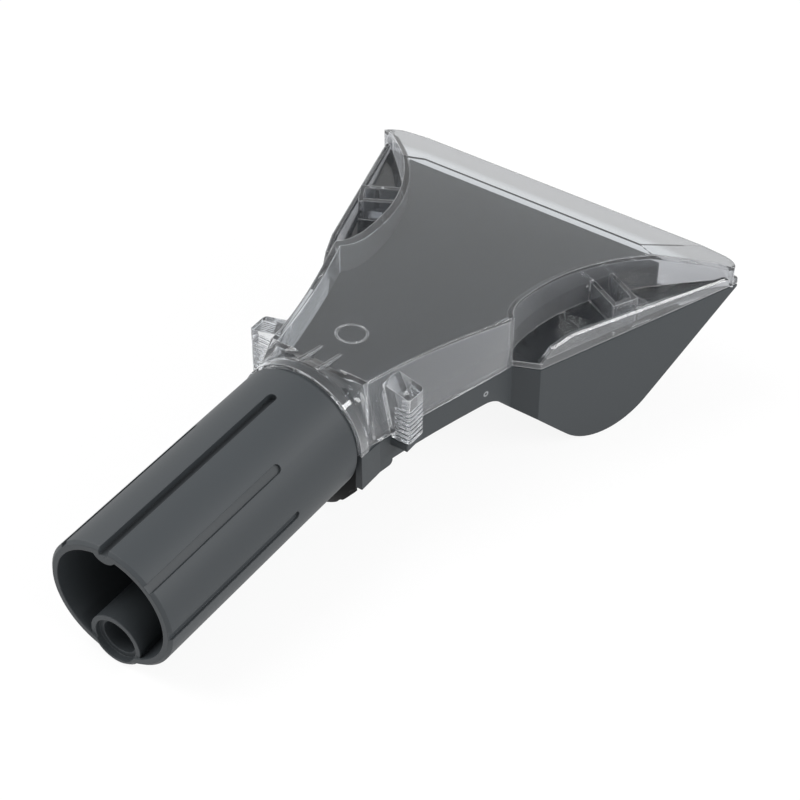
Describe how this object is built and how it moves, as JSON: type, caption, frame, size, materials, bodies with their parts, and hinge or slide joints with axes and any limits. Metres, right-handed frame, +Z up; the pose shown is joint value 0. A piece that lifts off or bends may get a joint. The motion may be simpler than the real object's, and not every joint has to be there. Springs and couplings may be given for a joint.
{
  "type": "vacuum upholstery nozzle",
  "caption": "Hand-held upholstery nozzle for a spray-extraction vacuum: grooved grey socket tube, flared body with deep side cheeks, and a clear clipped cover over the suction channel.",
  "frame": {"origin": "bottom centre of the bounding box, with the tool lying on its tube mouth and its two cheeks", "axes": "+Y from the tube's mouth towards the suction lip, +Z up, +X to the right seen from the tube's mouth"},
  "size_m": [0.1326, 0.226, 0.0539],
  "materials": {
    "grey_plastic": "fine moulded satin",
    "clear_plastic": "clear, polished mould",
    "black_plastic": "moulded",
    "tip_plastic": "moulded",
    "seal_rubber": "plain"
  },
  "bodies": {
    "root": {"nozzle_body": "grey_plastic", "clear_cover": "clear_plastic", "union_nut": "black_plastic", "spray_tip": "tip_plastic", "tip_seal": "seal_rubber"}
  },
  "joints": []
}
